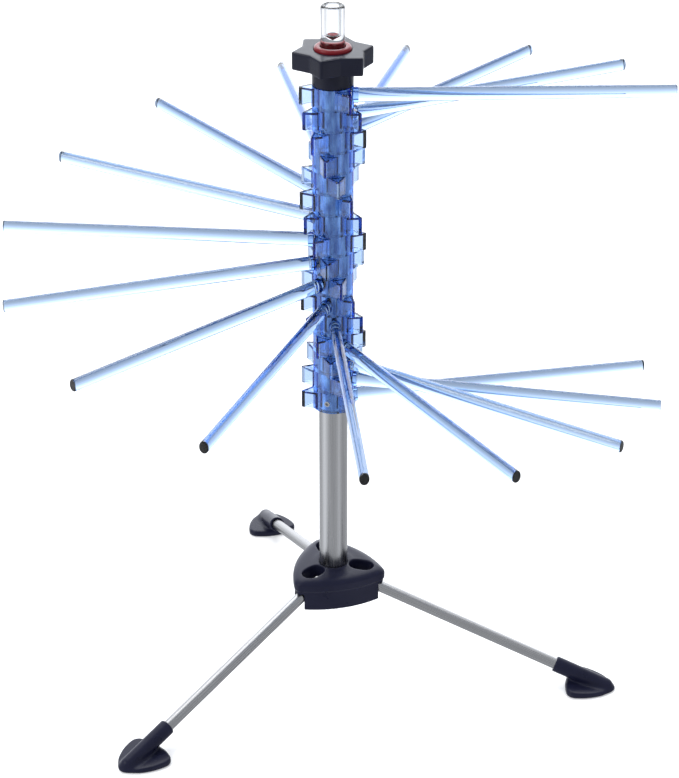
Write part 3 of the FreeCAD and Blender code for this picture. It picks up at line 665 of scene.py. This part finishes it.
@dataclass
class Top:
    """Star knob, its hidden fittings, the red guide ring and the clear wand."""

    wand_edge: float = 1.6 * MM
    wand_hole: float = 4.4 * MM
    wand_hole_depth: float = 19.5 * MM
    wand_cone: float = 3.4 * MM
    wand_steps: int = 32
    ring_bore_edge: float = 0.8 * MM
    ring_wall: float = 4.0 * MM
    ring_edge: float = 1.8 * MM
    knob_spacing: float = 0.5 * MM
    knob_rounds: int = 7
    segments: int = 128

    def wand_grid(self) -> np.ndarray:
        """Surface of the wand: its half section, with rounded ends and a coned blind hole, turned about Z.

        Returns:
            Grid of points, profile by turn.
        """
        low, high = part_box("wand")
        radius = (high.x - low.x) / 2
        edge = self.wand_edge
        top = high.z
        floor = top - self.wand_hole_depth
        side = np.linspace(low.z + edge, top - edge, self.wand_steps)[1:-1]
        profile = np.vstack([
            [(0.0, low.z)],
            arc((radius - edge, low.z + edge), edge, -90.0, 0.0),
            np.stack([np.full_like(side, radius), side], axis=-1),
            arc((radius - edge, top - edge), edge, 0.0, 90.0),
            arc((self.wand_hole + edge, top - edge), edge, 90.0, 180.0),
            [(self.wand_hole, floor), (0.0, floor - self.wand_cone)],
        ])
        return turned(profile, self.segments)

    def ring_grid(self) -> np.ndarray:
        """Surface of the guide ring: a bead with a well rounded outer shoulder and a softened bore.

        Returns:
            Grid of points, profile by turn, which closes on itself.
        """
        low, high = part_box("guide_ring")
        outer = (high.x - low.x) / 2
        inner = outer - self.ring_wall
        edge = self.ring_edge
        bore_edge = self.ring_bore_edge
        profile = np.vstack([
            [(inner, low.z), (outer, low.z)],
            arc((outer - edge, high.z - edge), edge, 0.0, 90.0),
            arc((inner + bore_edge, high.z - bore_edge), bore_edge, 90.0, 180.0),
            [(inner, low.z)],
        ])
        return turned(profile, self.segments)

    def build(self) -> None:
        """Makes the wand, the ring and the knob and dresses the knob's fittings."""
        wand = Surface("clear_wand", self.wand_grid()).build()
        stand_for(wand, "wand", "wand", WAND_PLASTIC.material())
        ring = Surface("red_guide_ring", self.ring_grid()).build()
        stand_for(ring, "guide_ring", "fan_01", RED_PLASTIC.material())
        knob = even_skin("knob", "moulded_knob", self.knob_spacing)
        ease(knob, self.knob_rounds, everywhere)
        stand_for(knob, "knob", "fan_01", BLACK_PLASTIC.material())
        dress_node("friction_washer", WASHER_PLASTIC.material())
        steel = STEEL.material()
        for node in ("drive_pins", "retaining_clip"):
            dress_node(node, steel)


@dataclass
class Foot:
    """Moulded foot whose slanted socket flows into its pad."""

    apex_level: float = 73 * MM
    slope: float = 19.44
    ridge_radius: float = 5.7 * MM
    ridge_end: float = 200.0 * MM
    pad_middle: float = 187.1 * MM
    pad_reach: float = 20.2 * MM
    heel_height: float = 5.2 * MM
    tip_height: float = 3.0 * MM
    blend: float = 4.5 * MM
    spacing: float = 0.5 * MM
    edge_rounds: int = 5
    blend_rounds: int = 60

    def near_ridge_foot(self, points: np.ndarray) -> np.ndarray:
        """Share by which points lie near the corner between ridge and pad, for a foot along +X.

        With d the larger of a point's distances from the ridge's skin and from the pad's top, and b the
        blend, the share is 1 - d/b and never below 0.

        Args:
            points: Points, one row each.

        Returns:
            One share for each point.
        """
        fall = math.tan(math.radians(self.slope))
        ahead = np.array([math.cos(math.radians(self.slope)), 0.0, -math.sin(math.radians(self.slope))])
        end = np.array([self.ridge_end, 0.0, self.apex_level - self.ridge_end * fall])
        along = np.minimum((points - end) @ ahead, 0.0)[:, None]
        from_ridge = np.abs(np.linalg.norm(points - end - along * ahead, axis=1) - self.ridge_radius)
        thinning = (self.heel_height - self.tip_height) / (2.0 * self.pad_reach)
        top = (self.heel_height + self.tip_height) / 2.0 - (points[:, 0] - self.pad_middle) * thinning
        from_pad = np.abs(points[:, 2] - top)
        return np.clip(1.0 - np.maximum(from_ridge, from_pad) / self.blend, 0.0, 1.0)

    def build(self, leg: Leg, material: bpy.types.Material) -> None:
        """Makes a foot.

        Args:
            leg: Leg that carries it.
            material: Its finish.
        """
        node = f"foot_{leg.label}"
        piece = even_skin(node, f"moulded_{node}", self.spacing)

        def near_corner(points: np.ndarray) -> np.ndarray:
            """Share of each point, with the foot turned to lie along +X."""
            return self.near_ridge_foot(turn_about_column(points, -leg.value))

        ease(piece, self.edge_rounds, everywhere)
        ease(piece, self.blend_rounds, near_corner)
        stand_for(piece, node, f"leg_{leg.label}", material)


@dataclass
class Stand:
    """Column, hub, folding legs and feet."""

    leg_slope: float = 19.44
    bottom_collar: str = "collar_16"
    fixings: tuple[str, ...] = ("column_screw", "collar_screw", "leg_pins")
    hub_spacing: float = 0.5 * MM
    hub_rounds: int = 6

    def leg_to_z(self, leg: Leg) -> Triple:
        """Turns about X and then Y that bring a leg's direction to the Z axis.

        With (x, y, z) the direction, they are the angles whose tangents are y / z and -x / hypot(y, z).

        Args:
            leg: The leg.

        Returns:
            Turn about each axis, in radians.
        """
        slope = math.radians(self.leg_slope)
        x = math.cos(slope) * math.cos(math.radians(leg.value))
        y = math.cos(slope) * math.sin(math.radians(leg.value))
        z = -math.sin(slope)
        return math.atan2(y, z), -math.atan2(x, math.hypot(y, z)), 0.0

    def build(self) -> None:
        """Makes the mouldings and dresses the stand's other CAD nodes."""
        # From the bottom collar's underside up, the column is polished brighter and has painted reflection
        # bands in its colour.
        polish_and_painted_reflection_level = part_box(self.bottom_collar)[0].z
        dress_node("column_tube", replace(ALUMINIUM, polish_and_painted_reflection_from=polish_and_painted_reflection_level).material())
        navy = NAVY_PLASTIC.material()
        dress_node("column_plug", navy)
        hub = even_skin("base_hub", "moulded_hub", self.hub_spacing)
        ease(hub, self.hub_rounds, everywhere)
        stand_for(hub, "base_hub", "stand", navy)
        steel = STEEL.material()
        for node in self.fixings:
            dress_node(node, steel)
        foot = Foot(slope=self.leg_slope)
        for leg in Leg:
            tube = replace(LEG_ALUMINIUM, name=f"leg_aluminium_{leg.label}", turn=self.leg_to_z(leg))
            dress_node(f"leg_tube_{leg.label}", tube.material())
            foot.build(leg, navy)


@dataclass
class Studio:
    """Pale floor, soft light and the camera."""

    camera_at: Triple = (-0.3975, -1.4084, 0.9622)
    heading: float = 74.07
    tilt: float = 27.04
    lens: float = 109.99
    sensor: float = 36.0
    floor_reach: float = 9.0
    floor_drop: float = 0.1 * MM
    floor_tone: Colour = (0.90, 0.90, 0.90)
    floor_glow: float = 0.25
    floor_roughness: float = 0.7
    floor_shine: float = 0.2
    softboxes: tuple[tuple[str, Triple, float, float], ...] = (
        ("top_softbox", (0.2, 1.05, 2.3), 2.2, 36.0),
        ("key_softbox", (-1.8, -0.2, 1.5), 1.0, 15.0),
    )
    aim: Triple = (0.0, 0.0, 0.25)
    room_tone: Colour = (0.92, 0.95, 1.0)
    room_dark: float = 0.70
    glows: tuple[tuple[Triple, float, float], ...] = (
        ((0.25, 0.95, 0.30), 4.0, 2.2),
        ((0.0, 0.3, 1.0), 2.0, 0.10),
        ((-1.0, 0.0, -0.45), 9.0, 0.95),
        ((0.52, -0.86, -0.45), 30.0, 0.50),
    )

    def floor(self) -> None:
        """Lays the floor.

        Clear pieces and metals don't see it, so they take in the light of the room instead.
        """
        reach = self.floor_reach
        corners = np.array([(-reach, -reach), (reach, -reach), (reach, reach), (-reach, reach)])
        points = np.column_stack([corners, np.full(len(corners), -self.floor_drop)])
        mesh = bpy.data.meshes.new("floor")
        mesh.from_pydata(points.tolist(), [], [(0, 1, 2, 3)])
        piece = bpy.data.objects.new("floor", mesh)
        bpy.context.scene.collection.objects.link(piece)
        tree = ShaderTree("pale_floor")
        tree.shade(Base_Color=(*self.floor_tone, 1.0))
        tree.shade(Roughness=self.floor_roughness, Specular_IOR_Level=self.floor_shine)
        tree.shade(Emission_Color=(1.0, 1.0, 1.0, 1.0), Emission_Strength=self.floor_glow)
        mesh.materials.append(tree.material)
        piece.visible_transmission = False
        piece.visible_glossy = False

    def lamps(self) -> None:
        """Hangs the soft boxes, each given by its name, place, width and power."""
        for name, place, width, watts in self.softboxes:
            lamp = bpy.data.lights.new(name, "AREA")
            lamp.shape = "SQUARE"
            lamp.size = width
            lamp.energy = watts
            holder = bpy.data.objects.new(name, lamp)
            holder.location = place
            holder.rotation_euler = (Vector(self.aim) - Vector(place)).to_track_quat("-Z", "Y").to_euler()
            holder.visible_transmission = False
            bpy.context.scene.collection.objects.link(holder)

    def room(self) -> None:
        """Lights the room: an even wall all round, which brightens towards the middle of each glow.

        With d a direction and w the way to the middle of a glow, the glow adds its strength times d.w to its
        power, or nothing where d.w is negative.
        """
        world = bpy.data.worlds.new("pale_room")
        world.use_nodes = True
        tree = world.node_tree
        direction = tree.nodes.new("ShaderNodeTexCoord")
        total = tree.nodes.new("ShaderNodeValue").outputs["Value"]
        total.default_value = self.room_dark
        for middle, power, strength in self.glows:
            towards = tree.nodes.new("ShaderNodeVectorMath")
            towards.operation = "DOT_PRODUCT"
            towards.inputs[1].default_value = Vector(middle).normalized()
            tree.links.new(direction.outputs["Generated"], towards.inputs[0])
            glow = towards.outputs["Value"]
            for operation, value in (("MAXIMUM", 0.0), ("POWER", power), ("MULTIPLY", strength)):
                step = tree.nodes.new("ShaderNodeMath")
                step.operation = operation
                step.inputs[1].default_value = value
                tree.links.new(glow, step.inputs[0])
                glow = step.outputs["Value"]
            plus = tree.nodes.new("ShaderNodeMath")
            plus.operation = "ADD"
            tree.links.new(total, plus.inputs[0])
            tree.links.new(glow, plus.inputs[1])
            total = plus.outputs["Value"]
        background = tree.nodes["Background"]
        background.inputs["Color"].default_value = (*self.room_tone, 1.0)
        tree.links.new(total, background.inputs["Strength"])
        bpy.context.scene.world = world
        bpy.context.scene.view_settings.view_transform = "Standard"

    def camera(self) -> None:
        """Sets the camera where the photograph was taken."""
        heading = math.radians(self.heading)
        tilt = math.radians(self.tilt)
        ahead = Vector((
            math.cos(heading) * math.cos(tilt), math.sin(heading) * math.cos(tilt), -math.sin(tilt)
        ))
        lens = bpy.data.cameras.new("photo_camera")
        lens.lens = self.lens
        lens.sensor_width = self.sensor
        holder = bpy.data.objects.new("photo_camera", lens)
        holder.location = self.camera_at
        holder.rotation_euler = ahead.to_track_quat("-Z", "Y").to_euler()
        bpy.context.scene.collection.objects.link(holder)
        bpy.context.scene.camera = holder

    def build(self) -> None:
        """Sets the scene."""
        self.floor()
        self.lamps()
        self.room()
        self.camera()


def main() -> None:
    """Dresses the rack and sets the scene."""
    logging.basicConfig(level=logging.INFO, format="%(message)s")
    for part in (Fan(), Top(), Stand(), Studio()):
        part.build()


if __name__ == "__main__":
    main()
